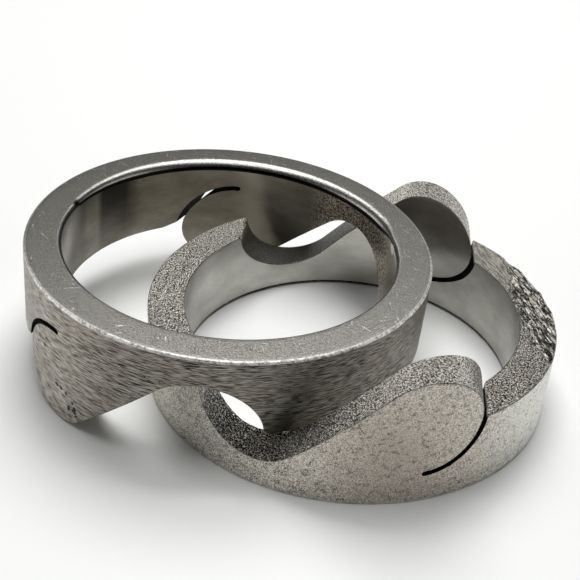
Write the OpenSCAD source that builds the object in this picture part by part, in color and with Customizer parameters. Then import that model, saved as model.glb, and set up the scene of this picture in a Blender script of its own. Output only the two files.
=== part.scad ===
// A finger ring of plain steel in two equal interlocking halves, shown slid apart.
// One wavy cut runs straight across the band, through its front and back walls alike.
// One half lies on its flat rim. The other leans over it upside down, on its two lobes.

/* [Band] */
// Inside diameter of the band, where the finger goes
bore_d = 19; // [17:0.1:21]
// Thickness of the band's wall
wall = 2.05; // [1.5:0.05:2.3]
// Width of the band when both halves are together
band_w = 9.35; // [8.8:0.05:10.6]
// Rounding of a rim's inner edge
inner_round = 0.55; // [0.2:0.05:0.7]
// Rounding of a rim's outer edge
outer_round = 0.15; // [0.1:0.05:0.3]

/* [Cut] */
// Radius of the lobe on a half's front and back wall
lobe_r = 2.75; // [2.4:0.05:2.9]
// Distance of the lobe and of the valley from the band's middle
lobe_x = 4.25; // [4:0.05:4.5]
// Width that the cut takes away between the halves
cut_w = 0.25; // [0.2:0.05:0.4]
// Width of the slit that frees the far side of a lobe
slit_w = 0.2; // [0.15:0.05:0.3]
// How far the lying half's slit follows its lobe down from the mouth, in degrees
lying_slit_turn = 86; // [80:1:115]
// How far the leaning half's slit follows its lobe from the mouth, in degrees
leaning_slit_turn = 92; // [80:1:115]
// Rounding of the corner between the left ledge and the valley
corner_round = 0.2; // [0.1:0.05:0.3]
// Length of the ramp from the leaning half's ledge into its slit
ramp_l = 0.6; // [0.3:0.1:1]
// Depth of that ramp at the slit
ramp_h = 0.35; // [0.1:0.05:0.5]

/* [Resting place] */
// Place of the lying half's axis across the middle of the pair
lying_x = 3.69; // [3:0.01:5]
// Place of the lying half's axis in front of the middle of the pair
lying_y = -0.66; // [-1:0.01:0]
// Leaning half's rim centre, to the side of the lying half's axis
lean_x = -7.2; // [-8:0.01:-6.5]
// Leaning half's rim centre, behind the lying half's axis
lean_y = 1.2; // [0.5:0.01:2]
// Turn of the leaning half about the upright, in degrees
lean_turn = -20.5; // [-25:0.1:-15]
// Dip of the leaning half's right side, in degrees
lean_tilt = 2.6; // [0:0.1:5]

/* [Hidden] */

bore_r = bore_d / 2;
outer_r = bore_r + wall;
mid_z = band_w / 2;
ledge_z = mid_z - cut_w / 2;
valley_r = lobe_r + cut_w;
// The cut is drawn past the wall on every side
beyond = outer_r + 1;

// The cut's flank is the line that touches the lobe and the valley from opposite sides
lobe_c = [lobe_x, mid_z];
valley_c = [-lobe_x, mid_z];
flank_turn = acos((lobe_r + valley_r) / (2 * lobe_x));
flank_out = [-cos(flank_turn), sin(flank_turn)];
lobe_touch = lobe_c + lobe_r * flank_out;
// The flank runs a hair into the valley's circle, so that line and arc cross cleanly
valley_touch = valley_c - (valley_r - 0.005) * flank_out;

// The left ledge's corner rounding ends on the valley's circle
corner_x = -lobe_x - sqrt(pow(valley_r, 2) - pow(mid_z - ledge_z + corner_round, 2));

// The leaning half stands on its lobes, which its tilt turns about the cut's direction
lean_z = mid_z * cos(lean_tilt) - lobe_x * sin(lean_tilt) + lobe_r;

steel = [0.56, 0.55, 0.53];
$fn = 96;

// Round rim edge in the band's section, at a corner of the wall
module edge_waste(at, radius, side) {
    translate(at) difference() {
        translate([side < 0 ? -1 : 0, -1]) square([1, 1]);
        circle(r = radius);
    }
}

// Whole band standing on one rim, with that rim's two edges rounded
module band() {
    rotate_extrude() difference() {
        translate([bore_r, 0]) square([wall, band_w]);
        edge_waste([bore_r + inner_round, inner_round], inner_round, -1);
        edge_waste([outer_r - outer_round, outer_round], outer_round, 1);
    }
}

// Slit round the far side of the lobe, from the ledge down to a round hole a little wider than itself
module slit(slit_turn) {
    reach = 2 * lobe_r;
    end_d = 1.1 * slit_w;
    translate(lobe_c) {
        intersection() {
            difference() {
                circle(r = lobe_r + slit_w);
                circle(r = lobe_r);
            }
            polygon([[0, 0], for (turn = [15, -25, -65, -slit_turn]) reach * [cos(turn), sin(turn)]]);
        }
        rotate(-slit_turn) translate([lobe_r + slit_w / 2, 0]) circle(d = end_d);
    }
}

// Sharp corner of the left ledge that the rounding takes away
module corner_waste() {
    translate([corner_x - corner_round, ledge_z - corner_round]) difference() {
        square([2 * corner_round, 2 * corner_round]);
        circle(r = corner_round);
    }
}

// Side view of one half: ledge, valley, flank, lobe, slit and ledge, from left to right
module half_outline(slit_turn, ramp) {
    mouth_x = lobe_x + lobe_r;
    difference() {
        union() {
            difference() {
                polygon([
                    [-beyond, -1],
                    [beyond, -1],
                    [beyond, ledge_z],
                    [lobe_x, ledge_z],
                    lobe_c,
                    lobe_touch,
                    valley_touch,
                    valley_c,
                    [-lobe_x, ledge_z],
                    [-beyond, ledge_z]
                ]);
                translate(valley_c) circle(r = valley_r);
                corner_waste();
            }
            translate(lobe_c) circle(r = lobe_r);
        }
        slit(slit_turn);
        if (ramp) polygon([
            [mouth_x + slit_w / 2, ledge_z - ramp_h],
            [mouth_x + slit_w + ramp_l, ledge_z],
            [mouth_x + slit_w / 2, ledge_z + 1]
        ]);
    }
}

// One half as it lies on its rim, with the cut running from front to back
module half_band(slit_turn, ramp) {
    color(steel) intersection() {
        band();
        rotate([90, 0, 0]) linear_extrude(2 * beyond, center = true) half_outline(slit_turn, ramp);
    }
}

module lying_half() {
    translate([lying_x, lying_y, 0]) half_band(lying_slit_turn, ramp = false);
}

module leaning_half() {
    translate([lying_x + lean_x, lying_y + lean_y, lean_z])
        rotate([0, lean_tilt, lean_turn])
            rotate([0, 180, 0]) half_band(leaning_slit_turn, ramp = true);
}

lying_half();
leaning_half();
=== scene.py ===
"""Looks of a plain steel puzzle ring in two halves, one lying on its rim and one leaning over it."""
import math

import bmesh
import bpy
import numpy as np
from mathutils import Matrix, Vector, geometry, noise


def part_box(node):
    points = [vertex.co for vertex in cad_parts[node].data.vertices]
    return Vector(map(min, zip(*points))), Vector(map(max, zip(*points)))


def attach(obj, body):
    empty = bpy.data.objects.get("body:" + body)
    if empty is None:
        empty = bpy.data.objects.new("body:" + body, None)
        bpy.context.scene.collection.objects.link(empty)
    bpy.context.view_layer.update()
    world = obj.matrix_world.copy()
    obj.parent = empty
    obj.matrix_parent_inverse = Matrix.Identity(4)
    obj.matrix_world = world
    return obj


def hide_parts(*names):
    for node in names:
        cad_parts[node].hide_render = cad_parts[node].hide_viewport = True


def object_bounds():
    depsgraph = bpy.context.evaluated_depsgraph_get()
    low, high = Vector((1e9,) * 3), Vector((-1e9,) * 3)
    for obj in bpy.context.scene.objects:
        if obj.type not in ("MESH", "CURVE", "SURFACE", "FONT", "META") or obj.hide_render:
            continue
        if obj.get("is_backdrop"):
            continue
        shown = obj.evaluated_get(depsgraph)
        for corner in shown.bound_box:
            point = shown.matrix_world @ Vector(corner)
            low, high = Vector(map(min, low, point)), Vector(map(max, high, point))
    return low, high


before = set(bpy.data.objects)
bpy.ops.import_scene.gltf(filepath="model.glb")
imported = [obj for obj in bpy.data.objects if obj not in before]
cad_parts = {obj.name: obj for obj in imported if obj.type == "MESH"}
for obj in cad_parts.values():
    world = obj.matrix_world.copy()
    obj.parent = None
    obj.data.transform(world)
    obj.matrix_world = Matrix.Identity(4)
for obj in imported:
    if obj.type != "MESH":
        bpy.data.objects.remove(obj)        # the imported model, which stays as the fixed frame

CAD_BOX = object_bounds()

# Lengths in this script are millimetres, and meshes are scaled to metres when they are made.
# A place on a half is given as the half lies on its rim: axis upright, rim at height 0, lobes at +X.
MM = 0.001

# The band and its cut, as in the part's source
BORE_R = 9.5
LOBE_R = 2.75
LOBE_X = 4.25
CUT_W = 0.25
LYING_SLIT_TURN = math.radians(86)
LEANING_SLIT_TURN = math.radians(92)
CORNER_ROUND = 0.2
RAMP_L = 0.6
RAMP_H = 0.35
OUTER_ROUND = 0.15

# A slit as wide as it looks in the photograph, a hair wider than in the part's source
SLIT_W = 0.25

# Rounding of a rim's inner edge. On the leaning half it is wide between two turns about the axis:
# it rises at the first, grows on from a share of its full width, and falls off before the second.
INNER_ROUND = 0.22
WIDE_ROUND = 0.55
WIDE_START = math.radians(-10.5)
WIDE_END = math.radians(144)
WIDE_RISE = math.radians(2)
WIDE_FALL = math.radians(14)
WIDE_GROWTH = math.radians(35)
WIDE_FIRST = 0.3

# Notch where the wide rounding starts, and the painted glint of a burr behind its end
NOTCH_AT = (9.55, -1.8, 0.15)
BURR_GLINT_AT = (-7.9, 5.28, 0.38)

# The leaning half's place against the lying half's axis
LEAN_X = -7.2
LEAN_Y = 1.2
LEAN_TURN = math.radians(-20.5)
LEAN_TILT = math.radians(2.6)

low, high = (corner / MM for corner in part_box("lying_half"))
OUTER_R = (high.x - low.x) / 2
MID_Z = high.z - LOBE_R
LEDGE_Z = MID_Z - CUT_W / 2
LYING_AT = Vector(((low.x + high.x) / 2, (low.y + high.y) / 2, 0))
LEAN_Z = MID_Z * math.cos(LEAN_TILT) - LOBE_X * math.sin(LEAN_TILT) + LOBE_R

# Drawing of the cut: spacing of a path's points, the turns left out where the corner's rounding
# meets the valley, and the width of the smoothing that closes this gap and rounds the corners
PATH_STEP = 0.01
CORNER_STOP = 0.06
VALLEY_START = 0.11
EDGE_SMOOTH = 0.05

# A slit's outer lip: how deep in the ramp it lies, as a share of the ramp's depth, and how far it
# eases into the ledge where there is no ramp. Then the stretch of ledge at either end of the outline.
LIP_DEPTH = 0.85
LIP_EASE = 0.05
LEDGE_MARGIN = 0.35

# Mesh sizes: step along the cut, turn from point to point, and rows across each surface
CUT_STEP = 0.09
TURN_STEP = 0.3
CUT_ROWS = 24
OUTER_ROUND_ROWS = 5
RIM_ROWS = 8
INNER_ROUND_ROWS = 8
RIM_COLUMNS = 400
RIM_TURNS = np.linspace(-math.pi, math.pi, RIM_COLUMNS, endpoint=False)

# The grid on a wall: its step, and the spacing of its rows and its distance from the edges, in steps
WALL_STEP = 0.19
WALL_ROW = 0.866
WALL_CLEAR = 0.6

# Filling of a wall: grid points tested at a time, gap at which points merge, and the kind of result
WALL_CHUNK = 500
MERGE_GAP = 1e-7
INSIDE_ONLY = 1

# Worn edge between a wall and the cut: its width, how much that changes, and how fast
EDGE_ROUND = 0.04
EDGE_WEAR = 0.45
EDGE_WEAR_SCALE = 0.9

# Smooth noise: how much finer each octave is, and how fast its height falls
NOISE_FINER = 2.1
NOISE_FALL = 0.6

# Grain that the cutting left on the cut faces, with streaks from front to back. A slit has none.
GRAIN_SIZE = 0.16
GRAIN_DEPTH = 0.012
GRAIN_SHARE = 0.6
STREAK_LENGTH = 3.0
STREAK_SHIFT = 5
SLIT_CLEAR = 0.05
LYING_SEED = 11.0
LEANING_SEED = 37.0

# Torn zone on the lying half's right ledge: a crescent from the outer edge inwards, with a wavy
# edge (height, number of waves and start of each wave) and slanting ridges
TORN_MIDDLE = math.radians(8)
TORN_HALF = math.radians(30)
TORN_WAVES = ((0.12, 23, 0), (0.08, 61, 1))
TORN_FADE = 0.25
TORN_DROP = 0.12
TORN_RIDGE = 0.16
TORN_REACH = 0.8
TORN_ABOVE = 0.2
TORN_STREAK_TURN = math.radians(22)
TORN_STREAK_SCALE = (4.2, 0.6, 1)
TORN_SEED = 7

# Burr on the inner edge of the lying half's front valley: its middle, half its length, how far it
# reaches over the cut's face and down the wall, its height, and the lumps in it
BURR_X = -3.3
BURR_HALF = 1.7
BURR_WIDTH = 0.35
BURR_DEPTH = 0.25
BURR_UNDER_LEDGE = 1
BURR_HEIGHT = 0.19
BURR_EVEN = 0.8
BURR_LUMPS = 0.3
BURR_SCALE = 4
BURR_SEED = 3

# Pits in the leaning half's outer wall: turn in degrees, height and number, below its lobe and by
# its slit. Then their spread in turn and height, and their size and how much it changes.
PIT_GROUPS = ((-74.5, 6.1, 11), (-62, 3.1, 4))
PIT_SPREAD_TURN = 2.6
PIT_SPREAD_Z = 0.45
PIT_REACH = 0.15
PIT_CHANGE = 0.03
PIT_SEED = 4

# The camera's view of the pair, fitted to the photograph
CAMERA_AT = (3.477, -51.623, 37.052)
CAMERA_RIGHT = (0.99278, 0.10366, 0.06042)
CAMERA_FORWARD = (-0.05587, 0.84506, -0.53175)
CAMERA_LENS = 65.701
CAMERA_SENSOR = 36

# Kinds of surface, each with its own finish
OUTER, INNER, CUT, RIM, POLISH, WORN, BRIGHT = range(7)

# Turn of the spread of reflections against the brushed lines, as a share of a full turn
BRUSH_TURN = 0.25

# Colours that more than one finish uses
# Painted shade deep in the slits
SLIT_SHADE = (0.004, 0.004, 0.004)
PORE_DARK = (0.004, 0.004, 0.003)
# Dark of a notch and a torn lip, also for painted dark reflections
GROOVE_AND_SHADE_DARK = (0.01, 0.009, 0.008)
# Near white, for the painted glint of a burr
BURR_GLINT_BRIGHT = (0.95, 0.94, 0.9)


def arc(centre, radius, start, end):
    """Points on a circle between two angles, close together."""
    turn = np.linspace(start, end, max(3, int(abs(end - start) * radius / PATH_STEP)))
    return np.array(centre) + radius * np.stack([np.cos(turn), np.sin(turn)], 1)


def line(start, end):
    """Points on a straight line, close together."""
    start, end = np.array(start), np.array(end)
    share = np.linspace(0, 1, max(2, int(np.linalg.norm(end - start) / PATH_STEP)))
    return start + share[:, None] * (end - start)


def smooth_path(path, sigma):
    """The path with its corners rounded, at an even and close spacing. Its ends stay."""
    run = np.concatenate([[0], np.cumsum(np.linalg.norm(np.diff(path, axis=0), axis=1))])
    at = np.linspace(0, run[-1], int(run[-1] / PATH_STEP))
    even = np.stack([np.interp(at, run, path[:, k]) for k in (0, 1)], 1)
    reach = int(4 * sigma / PATH_STEP)
    weight = np.exp(-0.5 * (np.arange(-reach, reach + 1) * PATH_STEP / sigma) ** 2)
    weight /= weight.sum()
    first = even[0] + (even[1] - even[0]) * np.arange(-reach, 0)[:, None]
    last = even[-1] + (even[-1] - even[-2]) * np.arange(1, reach + 1)[:, None]
    padded = np.concatenate([first, even, last])
    return np.stack([np.convolve(padded[:, k], weight, "valid") for k in (0, 1)], 1)


def thin_out(path, step, turn_step):
    """Fewer points of a path: closer together where it turns."""
    leg = np.diff(path, axis=0)
    length = np.linalg.norm(leg, axis=1)
    heading = np.unwrap(np.arctan2(leg[:, 1], leg[:, 0]))
    turn = np.abs(np.diff(heading, prepend=heading[0]))
    cost = np.concatenate([[0], np.cumsum(length / step + turn / turn_step)])
    at = np.linspace(0, cost[-1], int(round(cost[-1])) + 1)
    return np.stack([np.interp(at, cost, path[:, k]) for k in (0, 1)], 1)


def cut_outline(slit_turn, ramp):
    """The cut on a half's front wall as x and z, from the left ledge to the right one."""
    valley_r = LOBE_R + CUT_W
    slit_r = LOBE_R + SLIT_W
    lobe, valley = np.array([LOBE_X, MID_Z]), np.array([-LOBE_X, MID_Z])
    flank_turn = math.acos((LOBE_R + valley_r) / (2 * LOBE_X))
    flank = math.pi - flank_turn
    flank_out = np.array([math.cos(flank), math.sin(flank)])
    corner_x = -LOBE_X - math.sqrt(valley_r**2 - (MID_Z - LEDGE_Z + CORNER_ROUND) ** 2)
    corner = [corner_x - CORNER_ROUND, LEDGE_Z - CORNER_ROUND]
    slit_end = lobe + (LOBE_R + SLIT_W / 2) * np.array([math.cos(slit_turn), -math.sin(slit_turn)])
    if ramp:
        mouth_z, ease = LEDGE_Z - RAMP_H * LIP_DEPTH, RAMP_L
    else:
        mouth_z, ease = LEDGE_Z, LIP_EASE
    mouth_turn = math.asin((mouth_z - MID_Z) / slit_r)
    mouth = lobe + slit_r * np.array([math.cos(mouth_turn), math.sin(mouth_turn)])
    right = [mouth[0] + ease, LEDGE_Z]
    path = np.concatenate([
        line([corner[0] - LEDGE_MARGIN, LEDGE_Z], [corner[0], LEDGE_Z]),
        arc(corner, CORNER_ROUND, math.pi / 2, CORNER_STOP),
        arc(valley, valley_r, math.pi + VALLEY_START, 2 * math.pi - flank_turn),
        line(valley - valley_r * flank_out, lobe + LOBE_R * flank_out),
        arc(lobe, LOBE_R, flank, -slit_turn),
        arc(slit_end, SLIT_W / 2, math.pi - slit_turn, 2 * math.pi - slit_turn),
        arc(lobe, slit_r, -slit_turn, mouth_turn),
        line(mouth, right),
        line(right, [right[0] + LEDGE_MARGIN, LEDGE_Z]),
    ])
    return thin_out(smooth_path(path, EDGE_SMOOTH), CUT_STEP, TURN_STEP)


def ledge_steps(outline):
    """How many steps the cut's edge takes along half of the left ledge and half of the right one."""
    front = -np.arccos(np.clip(outline[:, 0] / OUTER_R, -1, 1))
    left = max(4, int(round((math.pi + front[0]) * OUTER_R / CUT_STEP)))
    right = max(4, int(round(-front[-1] * OUTER_R / CUT_STEP)))
    return left, right


def full_loop(radius, outline):
    """The cut's edge right round a wall, from the left end over the front and back again."""
    steps_left, steps_right = ledge_steps(outline)
    front = -np.arccos(outline[:, 0] / radius)
    left = np.linspace(-math.pi, front[0], steps_left, endpoint=False)
    right = np.linspace(front[-1], 0, steps_right + 1)[1:]
    turn = np.concatenate([left, front, right])
    height = np.concatenate([np.full(len(left), outline[0, 1]), outline[:, 1],
                             np.full(len(right), outline[-1, 1])])
    return np.stack([np.concatenate([turn, -turn[-2:0:-1]]),
                     np.concatenate([height, height[-2:0:-1]])], 1)


def inner_rounding(turn, wide):
    """Rounding of a rim's inner edge at each turn. The leaning half's is wide on one side."""
    if not wide:
        return np.full(len(turn), INNER_ROUND)
    ends = np.clip(np.minimum((turn - WIDE_START) / WIDE_RISE, (WIDE_END - turn) / WIDE_FALL), 0, 1)
    growth = np.clip(WIDE_FIRST + (1 - WIDE_FIRST) * (turn - WIDE_START) / WIDE_GROWTH, 0, 1)
    return INNER_ROUND + (WIDE_ROUND - INNER_ROUND) * ends * ends * (3 - 2 * ends) * growth


def torn_share(x, y):
    """How far a point of the right ledge lies inside the torn crescent, from 0 to 1."""
    radius, turn = np.hypot(x, y), np.arctan2(y, x)
    rim = BORE_R + (OUTER_R - BORE_R) * ((turn - TORN_MIDDLE) / TORN_HALF) ** 2
    wobble = sum(height * np.sin(turn * count + start) for height, count, start in TORN_WAVES)
    return np.clip((radius - rim + wobble) / TORN_FADE, 0, 1)


def fractal(points, octaves):
    """Smooth noise at each point, from about -1 to 1."""
    return np.array([noise.fractal(Vector(p), NOISE_FALL, NOISE_FINER, octaves) for p in points])


def inside(points, outline):
    """Whether each point lies inside a closed outline."""
    odd = np.zeros(len(points), bool)
    x, y = points[:, 0], points[:, 1]
    for (x0, y0), (x1, y1) in zip(outline, np.roll(outline, -1, axis=0)):
        if y0 != y1:
            crosses = (y0 > y) != (y1 > y)
            odd ^= crosses & (x < (x1 - x0) * (y - y0) / (y1 - y0) + x0)
    return odd


def wall_grid(radius, lowest, outline):
    """Even points inside a wall's unrolled outline, clear of its edges."""
    half_way_round = math.pi * radius
    turns, heights = np.meshgrid(
        np.arange(-half_way_round + WALL_STEP, half_way_round - WALL_STEP / 2, WALL_STEP),
        np.arange(lowest + WALL_STEP, MID_Z + LOBE_R, WALL_STEP * WALL_ROW))
    turns[1::2] += WALL_STEP / 2
    grid = np.stack([turns.ravel(), heights.ravel()], 1)
    keep = np.ones(len(grid), bool)
    for chunk in range(0, len(grid), WALL_CHUNK):
        part = grid[chunk:chunk + WALL_CHUNK]
        gap = np.linalg.norm(part[:, None] - outline[None], axis=2).min(1)
        keep[chunk:chunk + WALL_CHUNK] = gap > WALL_STEP * WALL_CLEAR
    return grid[keep & inside(grid, outline)]


def wall(radius, top, bottom_z):
    """Triangles over one wall. Its points are turn and height: the top loop, the bottom loop, the rest.

    The wall is filled as a flat sheet, cut open at its left end. The points along the sheet's far
    side are then left out, and the ones at its near side stand in for them.
    """
    first_z, seam_z = bottom_z[0], top[0, 1]
    side_z = np.linspace(first_z, seam_z, int((seam_z - first_z) / WALL_STEP) + 1)[1:-1]
    side, far_side = (np.stack([np.full(len(side_z), turn), side_z], 1) for turn in (-math.pi, math.pi))
    far_ends = np.array([[math.pi, first_z], [math.pi, seam_z]])
    fixed = np.concatenate([top, np.stack([RIM_TURNS, bottom_z], 1), side, far_ends, far_side])
    first_bottom = len(top)
    first_side = first_bottom + RIM_COLUMNS
    far_bottom = first_side + len(side)
    far_top = far_bottom + 1
    first_far = far_top + 1
    end_far = first_far + len(side)
    ring = [*range(first_bottom, first_side), far_bottom, *range(first_far, end_far), far_top,
            *range(first_bottom - 1, -1, -1), *range(far_bottom - 1, first_side - 1, -1)]
    edges = list(zip(ring, ring[1:] + ring[:1]))
    scale = np.array([radius, 1.0])
    outline = fixed[ring] * scale
    points = np.concatenate([fixed * scale, wall_grid(radius, bottom_z.min(), outline)])
    found = geometry.delaunay_2d_cdt([Vector(p) for p in points], edges, [], INSIDE_ONLY, MERGE_GAP, True)
    corners = np.array(found[2])
    middles = np.array([tuple(p) for p in found[0]])[corners].mean(axis=1)
    origin = np.array([ids[0] for ids in found[3]])
    same = {far_bottom: first_bottom, far_top: 0}
    same.update({first_far + i: first_side + i for i in range(len(side))})
    faces = [[same.get(int(v), int(v)) for v in f] for f in origin[corners[inside(middles, outline)]]]
    kept = np.concatenate([np.arange(far_bottom), np.arange(end_far, len(points))])
    place = {old: new for new, old in enumerate(kept)}
    return points[kept] / scale, [[place[v] for v in f] for f in faces]


def on_wall(radius, points):
    """Points of turn and height, on a wall of that radius."""
    turn, height = points[:, 0], points[:, 1]
    return np.stack([radius * np.cos(turn), radius * np.sin(turn), height], 1)


def inward(radius, loop):
    """Direction in the wall, across the cut's edge and into the metal, as turn and height."""
    flat = loop * np.array([radius, 1.0])
    period = np.array([2 * math.pi * radius, 0])
    ahead = np.concatenate([flat[1:], flat[:1] + period])
    behind = np.concatenate([flat[-1:] - period, flat[:-1]])
    along = ahead - behind
    along /= np.linalg.norm(along, axis=1)[:, None]
    return np.stack([along[:, 1], -along[:, 0]], 1)


def worn_width(points, seed):
    """How wide the worn edge is at each point of the cut's edge, as a column."""
    change = fractal(points * EDGE_WEAR_SCALE + seed, 4)
    return (EDGE_ROUND * (1 + EDGE_WEAR * np.clip(change, -1, 1)))[:, None]


class Surface:
    """Points and faces of a mesh in the making, with the kind of surface of each face."""

    def __init__(self):
        self.parts, self.faces, self.kinds = [], [], []
        self.count = 0

    def add(self, points):
        """Adds points and gives their numbers."""
        self.parts.append(points)
        self.count += len(points)
        return np.arange(self.count - len(points), self.count)

    def add_faces(self, faces, kind):
        """Adds faces that share one kind of surface."""
        self.faces.extend(faces)
        self.kinds.extend([kind] * len(faces))

    def bridge(self, rows, kinds):
        """Adds faces between each closed row of points and the next one."""
        for row, following, kind in zip(rows, rows[1:], kinds):
            corners = [row, np.roll(row, -1), np.roll(following, -1), following]
            self.add_faces(np.stack(corners, 1).tolist(), kind)


def ring_half(name, leaning, seed, place):
    """One half of the ring as a closed mesh: walls, rim, cut and the worn edges between them."""
    outline = cut_outline(LEANING_SLIT_TURN if leaning else LYING_SLIT_TURN, ramp=leaning)
    inner_round = inner_rounding(RIM_TURNS, leaning)
    surface = Surface()
    sharp, top_points, top_row, bottom_row = {}, {}, {}, {}
    for radius, kind, bottom_z in ((OUTER_R, OUTER, np.full(RIM_COLUMNS, OUTER_ROUND)),
                                   (BORE_R, INNER, inner_round)):
        loop = full_loop(radius, outline)
        sharp[radius] = on_wall(radius, loop)
        top = loop + inward(radius, loop) * worn_width(sharp[radius], seed) / np.array([radius, 1.0])
        top[0, 0] = -math.pi
        points, triangles = wall(radius, top, bottom_z)
        points = on_wall(radius, points)
        rows = surface.add(points)
        top_points[radius] = points[:len(loop)]
        top_row[radius] = rows[:len(loop)]
        bottom_row[radius] = rows[len(loop):len(loop) + RIM_COLUMNS]
        surface.add_faces([[int(rows[v]) for v in f] for f in triangles], kind)
    cut_rows(surface, sharp, top_points, top_row, seed)
    rim_rows(surface, bottom_row, inner_round)
    return finish_half(name, surface, leaning, seed, place)


def cut_rows(surface, sharp, top_points, top_row, seed):
    """The cut's face between the two walls, with a small rounding at either side."""
    across = sharp[BORE_R] - sharp[OUTER_R]
    across = across / np.linalg.norm(across, axis=1)[:, None]
    ends = {radius: sharp[radius] + way * worn_width(sharp[radius], seed) * across
            for radius, way in ((OUTER_R, 1), (BORE_R, -1))}

    def bend(radius, share):
        """A row of the rounding, from the wall at share 0 to the cut's face at share 1."""
        a, p, b = top_points[radius], sharp[radius], ends[radius]
        return (1 - share) ** 2 * a + 2 * share * (1 - share) * p + share**2 * b

    rows, kinds = [top_row[OUTER_R]], []
    for share in (1 / 3, 2 / 3, 1):
        rows.append(surface.add(bend(OUTER_R, share)))
        kinds.append(WORN)
    for share in np.linspace(0, 1, CUT_ROWS + 1)[1:]:
        rows.append(surface.add(ends[OUTER_R] * (1 - share) + ends[BORE_R] * share))
        kinds.append(CUT)
    for share in (2 / 3, 1 / 3):
        rows.append(surface.add(bend(BORE_R, share)))
        kinds.append(WORN)
    surface.bridge([*rows, top_row[BORE_R]], [*kinds, WORN])


def rim_rows(surface, bottom_row, inner_round):
    """The flat rim and the rounding at either side of it."""
    def ring(radius, z):
        return np.stack([radius * np.cos(RIM_TURNS), radius * np.sin(RIM_TURNS), z + 0 * RIM_TURNS], 1)

    rows, kinds = [bottom_row[OUTER_R]], []
    for angle in np.linspace(0, math.pi / 2, OUTER_ROUND_ROWS + 1)[1:]:
        rows.append(surface.add(ring(OUTER_R - OUTER_ROUND * (1 - math.cos(angle)),
                                     OUTER_ROUND * (1 - math.sin(angle)))))
        kinds.append(BRIGHT)
    flat_start = OUTER_R - OUTER_ROUND
    for share in np.linspace(0, 1, RIM_ROWS + 1)[1:]:
        rows.append(surface.add(ring(flat_start - share * (flat_start - BORE_R - inner_round), 0)))
        kinds.append(RIM)
    for angle in np.linspace(0, math.pi / 2, INNER_ROUND_ROWS + 1)[1:-1]:
        rows.append(surface.add(ring(BORE_R + inner_round * (1 - math.sin(angle)),
                                     inner_round * (1 - math.cos(angle)))))
        kinds.append(POLISH)
    surface.bridge([*rows, bottom_row[BORE_R]], [*kinds, POLISH])


def add_object(name, data):
    """A new object in the scene."""
    piece = bpy.data.objects.new(name, data)
    bpy.context.scene.collection.objects.link(piece)
    return piece


def finish_half(name, surface, leaning, seed, place):
    """The mesh object: relief on the cut, attributes for the materials, and its place."""
    points = np.concatenate(surface.parts)
    mesh = bpy.data.meshes.new(name)
    mesh.from_pydata(points * MM, [], surface.faces)
    mesh.polygons.foreach_set("material_index", np.array(surface.kinds, np.int32))
    work = bmesh.new()
    work.from_mesh(mesh)
    bmesh.ops.recalc_face_normals(work, faces=work.faces)
    work.to_mesh(mesh)
    work.free()
    mesh.update()

    normals = np.empty(len(points) * 3, np.float32)
    mesh.vertices.foreach_get("normal", normals)
    normals = normals.reshape(-1, 3).astype(float)
    on_cut = np.zeros(len(points), bool)
    on_cut[np.unique([face for face, kind in zip(surface.faces, surface.kinds) if kind == CUT])] = True
    relief = np.zeros(len(points))
    relief[on_cut] = cut_relief(points[on_cut], seed)
    moved = points + normals * relief[:, None]
    torn = np.zeros(len(points))
    if not leaning:
        torn = torn_share(points[:, 0], points[:, 1]) * (points[:, 0] > 0)
        moved[:, 2] -= torn_depth(points, torn)
        moved[:, 2] += burr(points)

    world = moved @ np.array(place.to_3x3()).T + np.array(place.translation)
    mesh.vertices.foreach_set("co", (world * MM).ravel())
    spot = mesh.attributes.new("place", "FLOAT_VECTOR", "POINT")
    spot.data.foreach_set("vector", moved.ravel().astype(np.float32))
    rounding = inner_rounding(np.arctan2(points[:, 1], points[:, 0]), leaning)
    for mark, values in (("torn", torn), ("edge", points[:, 2] / rounding), ("slit", slit_share(points))):
        shares = mesh.attributes.new(mark, "FLOAT", "POINT")
        shares.data.foreach_set("value", values.astype(np.float32))
    mesh.polygons.foreach_set("use_smooth", np.ones(len(mesh.polygons), bool))
    mesh.update()
    return add_object(name, mesh)


def torn_depth(points, torn):
    """How deep the torn zone lies at each point: a hollow with ridges that slant across the ledge."""
    below = np.clip(1 - (LEDGE_Z - points[:, 2]) / TORN_REACH, 0, 1)
    zone = torn * below * (points[:, 2] < LEDGE_Z + TORN_ABOVE)
    x, y, z = points[zone > 0].T
    turn = TORN_STREAK_TURN
    across = x * math.cos(turn) + y * math.sin(turn)
    along = y * math.cos(turn) - x * math.sin(turn)
    streak = np.stack([across, along, z], 1) * np.array(TORN_STREAK_SCALE) + TORN_SEED
    ridges = np.zeros(len(points))
    ridges[zone > 0] = np.clip(fractal(streak, 4), -1, 1)
    return zone * (TORN_DROP + TORN_RIDGE * ridges)


def burr(points):
    """Height of the burr on the inner edge of the front valley's bottom."""
    x, y, z = points.T
    from_edge = np.abs(LOBE_R + CUT_W - np.hypot(x + LOBE_X, z - MID_Z))
    from_bore = np.hypot(x, y) - BORE_R
    near_edge = np.clip(1 - from_edge / BURR_DEPTH, 0, 1) * np.clip(1 - from_bore / BURR_WIDTH, 0, 1)
    along = np.clip(1 - ((x - BURR_X) / BURR_HALF) ** 2, 0, 1) * (y < 0)
    share = near_edge * along * (z < LEDGE_Z - BURR_UNDER_LEDGE)
    height = np.zeros(len(points))
    lumps = fractal(points[share > 0] * BURR_SCALE + BURR_SEED, 2)
    height[share > 0] = BURR_HEIGHT * (BURR_EVEN + BURR_LUMPS * lumps)
    return share * height


def lobe_distance(points):
    """Distance of each point from the lobe's middle, seen from the front."""
    return np.hypot(points[:, 0] - LOBE_X, points[:, 2] - MID_Z)


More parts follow.
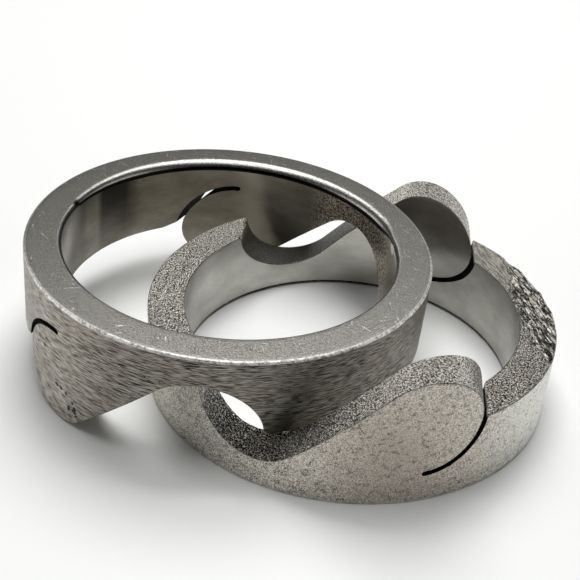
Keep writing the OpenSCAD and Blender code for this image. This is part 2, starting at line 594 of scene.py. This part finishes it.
def slit_share(points):
    """How far a point lies inside a slit, from 0 at its lips to 1 within, where the finishes paint the
    slit's shade.
    """
    margin, lip, fade, behind = 0.02, 0.1, 0.15, 0.5
    from_slit = np.abs(lobe_distance(points) - LOBE_R - SLIT_W / 2)
    across = (from_slit < SLIT_W / 2 + margin) * 1.0
    along = np.clip((LEDGE_Z - lip - points[:, 2]) / fade, 0, 1)
    return across * along * (points[:, 0] > LOBE_X - behind)


def cut_relief(points, seed):
    """Height of the grain on the cut's face, outside the slit."""
    grain = fractal(points / GRAIN_SIZE + seed, 2)
    long_points = points * np.array([1, 1 / STREAK_LENGTH, 1])
    streaks = fractal(long_points / GRAIN_SIZE + seed + STREAK_SHIFT, 2)
    in_slit = (points[:, 2] < LEDGE_Z) & (lobe_distance(points) < LOBE_R + SLIT_W + SLIT_CLEAR)
    return np.where(in_slit, 0, GRAIN_DEPTH * (GRAIN_SHARE * grain + GRAIN_SHARE * streaks))


def new_material(name):
    """A new material, its tree of nodes and its shader."""
    material = bpy.data.materials.new(name)
    material.use_nodes = True
    return material, material.node_tree, material.node_tree.nodes["Principled BSDF"]


class Nodes:
    """Short calls for the material nodes that repeat."""

    def __init__(self, tree):
        self.tree = tree
        self.place = self.attribute("place", "Vector")

    def attribute(self, name, output="Fac"):
        """A value that the mesh keeps at each point."""
        node = self.tree.nodes.new("ShaderNodeAttribute")
        node.attribute_name = name
        return node.outputs[output]

    def axis(self, name):
        """The place along one axis."""
        node = self.tree.nodes.new("ShaderNodeSeparateXYZ")
        self.tree.links.new(self.place, node.inputs["Vector"])
        return node.outputs[name]

    def stretch(self, scale, turn=0.0):
        """The place, turned about the upright by an angle and then scaled along each axis."""
        node = self.tree.nodes.new("ShaderNodeMapping")
        node.vector_type = "TEXTURE"
        node.inputs["Scale"].default_value = [1 / s for s in scale]
        node.inputs["Rotation"].default_value = (0, 0, turn)
        self.tree.links.new(self.place, node.inputs["Vector"])
        return node.outputs["Vector"]

    def noise(self, vector, scale, detail, rough):
        """Cloudy noise, around 0.5."""
        node = self.tree.nodes.new("ShaderNodeTexNoise")
        node.inputs["Scale"].default_value = scale
        node.inputs["Detail"].default_value = detail
        node.inputs["Roughness"].default_value = rough
        self.tree.links.new(vector, node.inputs["Vector"])
        return node.outputs["Fac"]

    def off_middle(self, field):
        """How far a noise is from its middle value, which it crosses along winding lines."""
        return self.math("ABSOLUTE", self.math("SUBTRACT", field, 0.5))

    def scratches(self, turn, scale, width):
        """Thin lines, from 0 to 1, that run across the rim at an angle and break off here and there."""
        off = self.off_middle(self.noise(self.stretch((1, 0.05, 1), turn), scale, 1, 0.5))
        broken = self.ramp(self.noise(self.place, scale * 0.4, 2, 0.6), 0.5, 0.6)
        return self.times(self.ramp(off, width * 0.4, width, 1, 0), broken)

    def spots(self, scale, radius, share):
        """Round spots, from 0 to 1, in some of the cells of a loose pattern."""
        node = self.tree.nodes.new("ShaderNodeTexVoronoi")
        node.inputs["Scale"].default_value = scale
        self.tree.links.new(self.place, node.inputs["Vector"])
        dots = self.ramp(node.outputs["Distance"], radius * 0.6, radius, 1, 0)
        chosen = self.ramp(self.noise(self.place, scale * 0.35, 2, 0.5), 1 - share, 1.04 - share)
        return self.times(dots, chosen)

    def ramp(self, value, low, high, to_low=0.0, to_high=1.0):
        """The value's way from low to high, as a way from to_low to to_high. It stays level beyond."""
        node = self.tree.nodes.new("ShaderNodeMapRange")
        node.inputs["From Min"].default_value = low
        node.inputs["From Max"].default_value = high
        node.inputs["To Min"].default_value = to_low
        node.inputs["To Max"].default_value = to_high
        self.tree.links.new(value, node.inputs["Value"])
        return node.outputs["Result"]

    def band(self, value, rise, fall, top=1.0):
        """A share that rises from 0 over one stretch of the value and falls back over another."""
        return self.times(self.ramp(value, *rise, 0, top), self.ramp(value, *fall, 1, 0))

    def near(self, centre, reach):
        """How near the place is to a point, from 1 at the point to 0 at the reach."""
        node = self.tree.nodes.new("ShaderNodeVectorMath")
        node.operation = "DISTANCE"
        node.inputs[1].default_value = centre
        self.tree.links.new(self.place, node.inputs[0])
        return self.ramp(node.outputs["Value"], 0, reach, 1, 0)

    def math(self, kind, a, b=0):
        """One step of arithmetic on numbers or on other nodes' values."""
        node = self.tree.nodes.new("ShaderNodeMath")
        node.operation = kind
        for value, socket in zip((a, b), node.inputs):
            if isinstance(value, (int, float)):
                socket.default_value = value
            else:
                self.tree.links.new(value, socket)
        return node.outputs["Value"]

    def times(self, first, *others):
        """The product of two or more values."""
        for other in others:
            first = self.math("MULTIPLY", first, other)
        return first

    def mix(self, share, a, b):
        """The first colour where the share is 0, the second where it is 1."""
        node = self.tree.nodes.new("ShaderNodeMix")
        node.data_type = "RGBA"
        self.tree.links.new(share, node.inputs["Factor"])
        for value, socket in zip((a, b), (node.inputs[6], node.inputs[7])):
            if isinstance(value, tuple):
                socket.default_value = (*value, 1)
            else:
                self.tree.links.new(value, socket)
        return node.outputs[2]

    def bump(self, height, strength, distance):
        """The surface's tilt from a height that is given in shares of the distance."""
        node = self.tree.nodes.new("ShaderNodeBump")
        node.inputs["Strength"].default_value = strength
        node.inputs["Distance"].default_value = distance * MM
        self.tree.links.new(height, node.inputs["Height"])
        return node.outputs["Normal"]


def steel(name, colour, rough, height, strength, distance, brushed=0.0):
    """A steel finish: its colour, roughness and fine height, and how far brushing spreads its gloss."""
    material, tree, shader = new_material(name)
    shader.inputs["Metallic"].default_value = 1
    nodes = Nodes(tree)
    tree.links.new(colour(nodes), shader.inputs["Base Color"])
    if callable(rough):
        tree.links.new(rough(nodes), shader.inputs["Roughness"])
    else:
        shader.inputs["Roughness"].default_value = rough
    tree.links.new(nodes.bump(height(nodes), strength, distance), shader.inputs["Normal"])
    if brushed:
        tangent = tree.nodes.new("ShaderNodeTangent")
        tangent.direction_type = "RADIAL"
        tangent.axis = "Z"
        tree.links.new(tangent.outputs["Tangent"], shader.inputs["Tangent"])
        shader.inputs["Anisotropic"].default_value = brushed
        shader.inputs["Anisotropic Rotation"].default_value = BRUSH_TURN
    return material


def brushed_outer():
    """Outer wall of the leaning half: fine short lines round the band, a warm tint and small pits, with
    painted light towards the lobes' side and painted shade at the valleys' end of the front.
    """
    dark, light, warm_tint = (0.035, 0.032, 0.027), (0.55, 0.522, 0.46), (0.29, 0.235, 0.19)
    shadow, pit_dark, speck_dark = (0.05, 0.046, 0.04), (0.015, 0.013, 0.01), (0.04, 0.035, 0.03)
    shadow_at, shadow_reach = (-7.9, -8.4, 6.3), 3.4
    line_scale = (0.045, 0.045, 1)

    def specks(n):
        return n.spots(scale=2.2, radius=0.16, share=0.42)

    def colour(n):
        fine = n.ramp(n.noise(n.stretch(line_scale), scale=38, detail=1, rough=0.5), 0.44, 0.56)
        # The lines, lighter towards the lobes' side: painted light
        metal = n.mix(n.times(fine, n.ramp(n.axis("X"), -4, 11, 0.8, 1.2)), dark, light)
        # Painted shade at the valleys' end of the front wall
        shade = n.times(n.near(shadow_at, shadow_reach), 1.3)
        metal = n.mix(n.ramp(shade, 0, 1, 0, 0.75), metal, shadow)
        warm = n.ramp(n.noise(n.stretch((0.3, 0.3, 1)), scale=0.8, detail=2, rough=0.5), 0.4, 0.6)
        metal = n.mix(n.times(warm, 0.22), metal, warm_tint)
        draw = np.random.default_rng(PIT_SEED)
        for turn, height, count in PIT_GROUPS:
            for aside, above, size in draw.normal(size=(count, 3)):
                angle = math.radians(turn + PIT_SPREAD_TURN * aside)
                at = (OUTER_R * math.cos(angle), OUTER_R * math.sin(angle), height + PIT_SPREAD_Z * above)
                reach = PIT_REACH + PIT_CHANGE * np.clip(size, -1, 1)
                metal = n.mix(n.ramp(n.near(at, reach), 0.1, 0.4), metal, pit_dark)
        return n.mix(specks(n), metal, speck_dark)

    def height(n):
        return n.math("SUBTRACT", n.noise(n.stretch(line_scale), scale=42, detail=1, rough=0.5), specks(n))

    return steel("steel_brushed", colour, 0.4, height, strength=1, distance=0.025, brushed=0.8)


def frosted_outer():
    """Outer wall of the lying half: fine mottling with pits, short marks, a faint warm stain and a painted
    highlight towards the lobes' end.
    """
    dark, light, pale = (0.24, 0.23, 0.204), (0.9, 0.868, 0.777), (0.78, 0.785, 0.76)
    blot, mark, pit = (0.12, 0.108, 0.09), (0.07, 0.06, 0.05), (0.05, 0.045, 0.04)
    stain, stain_at, stain_reach = (0.36, 0.3, 0.255), (2.8, -11, 3.5), 7

    def pits(n):
        return n.spots(scale=2.1, radius=0.13, share=0.45)

    def colour(n):
        grain = n.ramp(n.noise(n.place, scale=16, detail=2, rough=0.7), 0.42, 0.58)
        blots = n.ramp(n.noise(n.place, scale=7, detail=2, rough=0.6), 0.61, 0.66)
        metal = n.mix(n.times(blots, 0.7), n.mix(grain, dark, light), blot)
        # Painted highlight: paler towards the lobes' end of the wall
        metal = n.mix(n.ramp(n.axis("X"), 7, 10.5, 0, 0.6), metal, pale)
        metal = n.mix(n.times(n.near(stain_at, stain_reach), 0.75), metal, stain)
        off = n.off_middle(n.noise(n.place, scale=3.2, detail=3, rough=0.7))
        broken = n.ramp(n.noise(n.stretch((1, 1, 1.7)), scale=2.3, detail=2, rough=0.6), 0.52, 0.6)
        marks = n.times(n.ramp(off, 0.015, 0.05, 1, 0), broken)
        metal = n.mix(n.times(marks, 0.75), metal, mark)
        return n.mix(pits(n), metal, pit)

    def height(n):
        return n.math("SUBTRACT", n.noise(n.place, scale=10, detail=3, rough=0.75), pits(n))

    return steel("steel_frosted", colour, 0.42, height, strength=0.9, distance=0.02)


def paint_reflections_and_grain(n, metal):
    """Painted reflections and highlights, a patch of coarse grain and the painted glint of a burr on the
    leaning half's inner wall, laid over its plain metal one after another.
    """
    x, y, z = n.axis("X"), n.axis("Y"), n.axis("Z")
    # Two dark upright streaks, stronger towards the rim: painted dark reflections
    streaks = n.math("ADD", n.band(y, (-3.3, -2.5), (-1.2, -0.6), 0.5), n.band(y, (0.4, 0.9), (2.8, 3.8)))
    upper = n.times(n.ramp(z, 1.5, 5.5, 0.85, 0), n.ramp(x, 4, 7))
    metal = n.mix(n.times(streaks, upper), metal, (0.035, 0.033, 0.03))
    # A pale band at the back, with a slanting side: a painted reflection
    slant = n.math("ADD", x, n.times(z, 0.28))
    pale = n.times(n.ramp(slant, 2.8, 3.3, 0, 0.32), n.ramp(x, 3.4, 4.6, 1, 0))
    metal = n.mix(n.times(pale, n.ramp(y, 0, 3)), metal, (0.75, 0.71, 0.62))
    # A patch of coarse grain at the back
    patch_at, patch_reach = (-4.7, 8, 2.2), 5.2
    grain = n.ramp(n.noise(n.place, scale=9, detail=3, rough=0.7), 0.44, 0.58)
    grainy = n.mix(grain, (0.12, 0.105, 0.082), (0.95, 0.87, 0.75))
    metal = n.mix(n.ramp(n.near(patch_at, patch_reach), 0.1, 0.4), metal, grainy)
    # A painted dark reflection along the narrow rounding at the valleys' side, and a painted highlight
    # beyond it
    side = n.times(n.ramp(x, -8.2, -8, 1, 0), n.band(y, (-4, 0), (4.9, 5.1)))
    metal = n.mix(n.times(side, n.ramp(z, 0.25, 0.28, 1, 0)), metal, GROOVE_AND_SHADE_DARK)
    metal = n.mix(n.times(side, n.band(z, (0.26, 0.3), (0.42, 0.5))), metal, (0.9, 0.89, 0.85))
    # The painted glint of a small burr on the edge
    return n.mix(n.ramp(n.near(BURR_GLINT_AT, 0.6), 0.2, 0.5), metal, BURR_GLINT_BRIGHT)


def satin_inner(name, dark, light, reflections_and_grain):
    """Inner walls: smooth satin with faint lines round the band and, where asked, painted reflections and
    highlights, a patch of grain and a burr's painted glint.
    """
    def colour(n):
        cloud = n.ramp(n.noise(n.stretch((0.5, 0.5, 1)), scale=0.9, detail=3, rough=0.5), 0.3, 0.7)
        fine = n.noise(n.stretch((0.12, 0.12, 1)), scale=16, detail=3, rough=0.7)
        metal = n.mix(n.times(cloud, n.ramp(fine, 0.3, 0.7, 0.6, 1.3)), dark, light)
        if reflections_and_grain:
            metal = paint_reflections_and_grain(n, metal)
        return metal

    def height(n):
        return n.noise(n.stretch((0.1, 0.1, 1)), scale=10, detail=3, rough=0.7)

    return steel(name, colour, 0.28, height, strength=0.4, distance=0.008, brushed=0.4)


def scratched_rim():
    """Flat rims: satin with fine crossing scratches, and painted shade that darkens them towards the
    lobes' side.
    """
    dark, light, scratch = (0.095, 0.092, 0.082), (0.3, 0.292, 0.264), (0.6, 0.59, 0.55)

    def worn(n):
        first, second = n.scratches(0.9, scale=4.4, width=0.01), n.scratches(-0.5, scale=4, width=0.01)
        third = n.scratches(1.9, scale=3.6, width=0.009)
        return n.math("MAXIMUM", n.math("MAXIMUM", first, second), third)

    def colour(n):
        cloud = n.ramp(n.noise(n.place, scale=12, detail=3, rough=0.8), 0.4, 0.6)
        # Painted shade: darker towards the lobes' side
        metal = n.mix(n.times(cloud, n.ramp(n.axis("X"), -12, 12, 0.9, 0.45)), dark, light)
        return n.mix(n.times(worn(n), 0.4), metal, scratch)

    def height(n):
        return n.math("SUBTRACT", n.noise(n.place, scale=11, detail=3, rough=0.75), worn(n))

    return steel("steel_rim", colour, 0.36, height, strength=0.8, distance=0.014)


def coarse_cut():
    """Cut faces: coarse sparkling grain with painted shade low in the valleys, a painted shadow in the
    back valley and painted shade in the slits, darkest where the metal is torn.
    """
    sparkle, shade = (0.95, 0.912, 0.824), (0.13, 0.125, 0.11)
    drawn_dark, drawn_light, torn_light = (0.16, 0.152, 0.13), (0.78, 0.745, 0.655), (0.66, 0.632, 0.572)
    streak_scale = (1, 0.08, 1)

    def grain(n):
        return n.noise(n.place, scale=12.5, detail=2, rough=0.7)

    def colour(n):
        x, y, z = n.axis("X"), n.axis("Y"), n.axis("Z")
        # The grain's middle value sets how dark a stretch of the cut is: painted shade low in the valleys,
        # lighter higher up and on the ledges, lightest on the ledge at the valleys' end
        painted_shade_lift = n.math("MAXIMUM", n.ramp(z, 3.6, 6.8, -0.055, 0.012),
                      n.ramp(n.math("ABSOLUTE", x), 6.9, 7.3, -0.055, -0.008))
        painted_shade_lift = n.math("ADD", painted_shade_lift, n.ramp(x, -7.3, -6.6, 0.018, 0))
        metal = n.mix(n.ramp(n.math("ADD", grain(n), painted_shade_lift), 0.479, 0.545), PORE_DARK, sparkle)
        # Painted shadow in the back valley
        back = n.times(n.ramp(z, LEDGE_Z - 0.6, LEDGE_Z - 0.1, 1, 0), n.ramp(y, -2, 2))
        metal = n.mix(n.times(back, 0.8), metal, shade)
        # Drawn metal behind the torn zone, then the torn zone with its dark lip
        along = n.stretch(streak_scale, TORN_STREAK_TURN)
        drawn = n.ramp(n.noise(along, scale=15, detail=2, rough=0.7), 0.44, 0.56)
        share = n.times(n.ramp(y, 2.5, 5.5, 0, 0.75), n.ramp(x, 6.9, 7.3))
        metal = n.mix(share, metal, n.mix(drawn, drawn_dark, drawn_light))
        streaks = n.ramp(n.noise(along, scale=12, detail=2, rough=0.7), 0.5, 0.56)
        torn = n.attribute("torn")
        metal = n.mix(n.times(torn, 0.92), metal, n.mix(streaks, PORE_DARK, torn_light))
        lip = n.band(torn, (0.02, 0.2), (0.35, 0.7))
        metal = n.mix(n.times(lip, 0.7), metal, GROOVE_AND_SHADE_DARK)
        # Painted shade deep in the slits
        return n.mix(n.attribute("slit"), metal, SLIT_SHADE)

    def height(n):
        torn = n.attribute("torn")
        even = n.times(grain(n), n.ramp(torn, 0, 1, 1, 0.2))
        streaks = n.noise(n.stretch((1, 0.1, 1), TORN_STREAK_TURN), scale=10, detail=2, rough=0.7)
        return n.math("ADD", even, n.times(streaks, n.times(torn, 1.6)))

    def rough(n):
        return n.ramp(n.attribute("slit"), 0, 1, 0.29, 0.8)

    return steel("steel_cut", colour, rough, height, strength=1, distance=0.12)


def polished_edge():
    """Rounding at the rims' inner edges, with a painted highlight brighter at the valleys' side, a painted
    dark reflection towards the wall, a notch and the painted glint of a burr.
    """
    dark, light = (0.17, 0.166, 0.155), (0.42, 0.411, 0.389)

    def colour(n):
        cloud = n.ramp(n.noise(n.place, scale=9, detail=3, rough=0.7), 0.4, 0.6)
        # Painted highlight: brighter at the valleys' side, dimmer at the lobes' side
        metal = n.mix(n.times(cloud, n.ramp(n.axis("X"), -8, 8, 1.5, 0.7)), dark, light)
        # Painted dark reflection on the half of the rounding next to the wall
        metal = n.mix(n.ramp(n.attribute("edge"), 0.5, 0.6), metal, GROOVE_AND_SHADE_DARK)
        metal = n.mix(n.ramp(n.near(NOTCH_AT, 0.5), 0.2, 0.6), metal, GROOVE_AND_SHADE_DARK)
        # Painted glint of a small burr
        return n.mix(n.ramp(n.near(BURR_GLINT_AT, 0.3), 0.2, 0.5), metal, BURR_GLINT_BRIGHT)

    def height(n):
        return n.noise(n.place, scale=11, detail=3, rough=0.75)

    return steel("steel_polished", colour, 0.32, height, strength=0.8, distance=0.008)


def bright_edge():
    """Rounding at the rims' outer edges, rubbed bright in places, brightest along the middle of the
    rounding as a painted highlight, and dimmer past the lobes.
    """
    dark, light = (0.22, 0.215, 0.2), (1, 0.985, 0.94)

    def colour(n):
        rubbed = n.ramp(n.noise(n.place, scale=4, detail=4, rough=0.8), 0.36, 0.56)
        past_lobes = n.ramp(n.axis("X"), 5.5, 9.5, 1, 0.35)
        # Painted highlight along the middle of the rounding, laid over the rubbed wear
        by_rim, by_wall = n.ramp(n.axis("Z"), 0, 0.03, 0.3, 1), n.ramp(n.axis("Z"), 0.1, 0.15, 1, 0.4)
        return n.mix(n.times(rubbed, past_lobes, by_rim, by_wall), dark, light)

    def height(n):
        return n.noise(n.place, scale=12, detail=3, rough=0.7)

    return steel("steel_bright", colour, 0.55, height, strength=0.8, distance=0.02)


def worn_edge():
    """Edges that wear has brightened."""
    dark, light = (0.05, 0.047, 0.041), (0.34, 0.33, 0.305)

    def colour(n):
        rubbed = n.ramp(n.noise(n.place, scale=9, detail=3, rough=0.75), 0.42, 0.6)
        # Painted shade deep in the slits
        return n.mix(n.attribute("slit"), n.mix(rubbed, dark, light), SLIT_SHADE)

    def height(n):
        return n.noise(n.place, scale=14, detail=2, rough=0.6)

    def rough(n):
        return n.ramp(n.attribute("slit"), 0, 1, 0.36, 0.8)

    return steel("steel_worn", colour, rough, height, strength=0.6, distance=0.02)


def floor():
    """Plain white floor, sized in metres."""
    half, white, rough = 1.5, (0.88, 0.885, 0.87, 1), 0.6
    mesh = bpy.data.meshes.new("floor")
    mesh.from_pydata([(-half, -half, 0), (half, -half, 0), (half, half, 0), (-half, half, 0)],
                     [], [(0, 1, 2, 3)])
    material, _, shader = new_material("floor_white")
    shader.inputs["Base Color"].default_value = white
    shader.inputs["Roughness"].default_value = rough
    mesh.materials.append(material)
    piece = add_object("floor", mesh)
    piece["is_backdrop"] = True


def softbox(name, at, side, power):
    """A soft square light that looks at the ring, sized and placed in metres."""
    ring_at = Vector((0, 0, 0))
    light = bpy.data.lights.new(name, "AREA")
    light.shape = "RECTANGLE"
    light.size, light.size_y = side, side
    light.energy = power
    lamp = add_object(name, light)
    lamp.location = at
    lamp.rotation_euler = (ring_at - Vector(at)).to_track_quat("-Z", "Y").to_euler()


def lights():
    """A softbox overhead, one behind it, and a pale wall at either side of a dark room."""
    dark_room, left_wall, right_wall = 0.01, 2.1, 1.6
    wall_start, wall_end = 0.75, 1
    softbox("softbox_top", (0, 0, 0.32), 0.2, 0.46)
    softbox("softbox_back", (0, 0.15, 0.28), 0.2, 0.74)
    world = bpy.data.worlds.new("surround")
    world.use_nodes = True
    tree = world.node_tree
    background = tree.nodes["Background"]
    place = tree.nodes.new("ShaderNodeTexCoord")
    split = tree.nodes.new("ShaderNodeSeparateXYZ")
    both = tree.nodes.new("ShaderNodeMath")
    both.operation = "ADD"
    tree.links.new(place.outputs["Generated"], split.inputs["Vector"])
    for side, level, socket in ((-1, left_wall, both.inputs[0]), (1, right_wall, both.inputs[1])):
        ramp = tree.nodes.new("ShaderNodeMapRange")
        ramp.interpolation_type = "SMOOTHSTEP"
        ramp.inputs["From Min"].default_value = side * wall_start
        ramp.inputs["From Max"].default_value = side * wall_end
        ramp.inputs["To Min"].default_value = dark_room
        ramp.inputs["To Max"].default_value = level
        tree.links.new(split.outputs["X"], ramp.inputs["Value"])
        tree.links.new(ramp.outputs["Result"], socket)
    tree.links.new(both.outputs["Value"], background.inputs["Strength"])
    background.inputs["Color"].default_value = (1, 1, 1, 1)
    bpy.context.scene.world = world


def camera():
    """The photograph's view, from above the front."""
    forward = Vector(CAMERA_FORWARD).normalized()
    up = Vector(CAMERA_RIGHT).normalized().cross(forward).normalized()
    turn = Matrix((forward.cross(up), up, -forward)).transposed()
    lens = bpy.data.cameras.new("camera")
    lens.sensor_width = CAMERA_SENSOR
    lens.lens = CAMERA_LENS
    lens.clip_start = 0.001
    lens.clip_end = 10
    eye = add_object("camera", lens)
    eye.matrix_world = Matrix.Translation(Vector(CAMERA_AT) * MM) @ turn.to_4x4()
    bpy.context.scene.camera = eye


def build():
    """Both halves in their places, each with its own outer and inner finish."""
    lying_place = Matrix.Translation(LYING_AT)
    leaning_place = (Matrix.Translation(LYING_AT + Vector((LEAN_X, LEAN_Y, LEAN_Z)))
                     @ Matrix.Rotation(LEAN_TURN, 4, "Z") @ Matrix.Rotation(LEAN_TILT, 4, "Y")
                     @ Matrix.Rotation(math.pi, 4, "Y"))
    lying = ring_half("half_lying", leaning=False, seed=LYING_SEED, place=lying_place)
    leaning = ring_half("half_leaning", leaning=True, seed=LEANING_SEED, place=leaning_place)
    pale = satin_inner("steel_satin", (0.43, 0.42, 0.383), (0.62, 0.61, 0.563), reflections_and_grain=False)
    # The leaning half's inner satin is a darker copy of the lying half's: its darkness is painted shade
    shaded_grey = satin_inner("steel_satin_painted_shade", (0.24, 0.222, 0.186), (0.41, 0.385, 0.33), reflections_and_grain=True)
    shared = {CUT: coarse_cut(), RIM: scratched_rim(), POLISH: polished_edge(),
              WORN: worn_edge(), BRIGHT: bright_edge()}
    for piece, node, outer, inner in ((lying, "lying_half", frosted_outer(), pale),
                                      (leaning, "leaning_half", brushed_outer(), shaded_grey)):
        finishes = {OUTER: outer, INNER: inner, **shared}
        for kind in range(len(finishes)):
            piece.data.materials.append(finishes[kind])
        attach(piece, "root")
        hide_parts(node)


camera()
build()
floor()
lights()
bpy.context.scene.view_settings.view_transform = "Standard"
plain = lambda box: [list(map(float, corner)) for corner in box]
{"cad": plain(CAD_BOX), "visual": plain(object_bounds())}
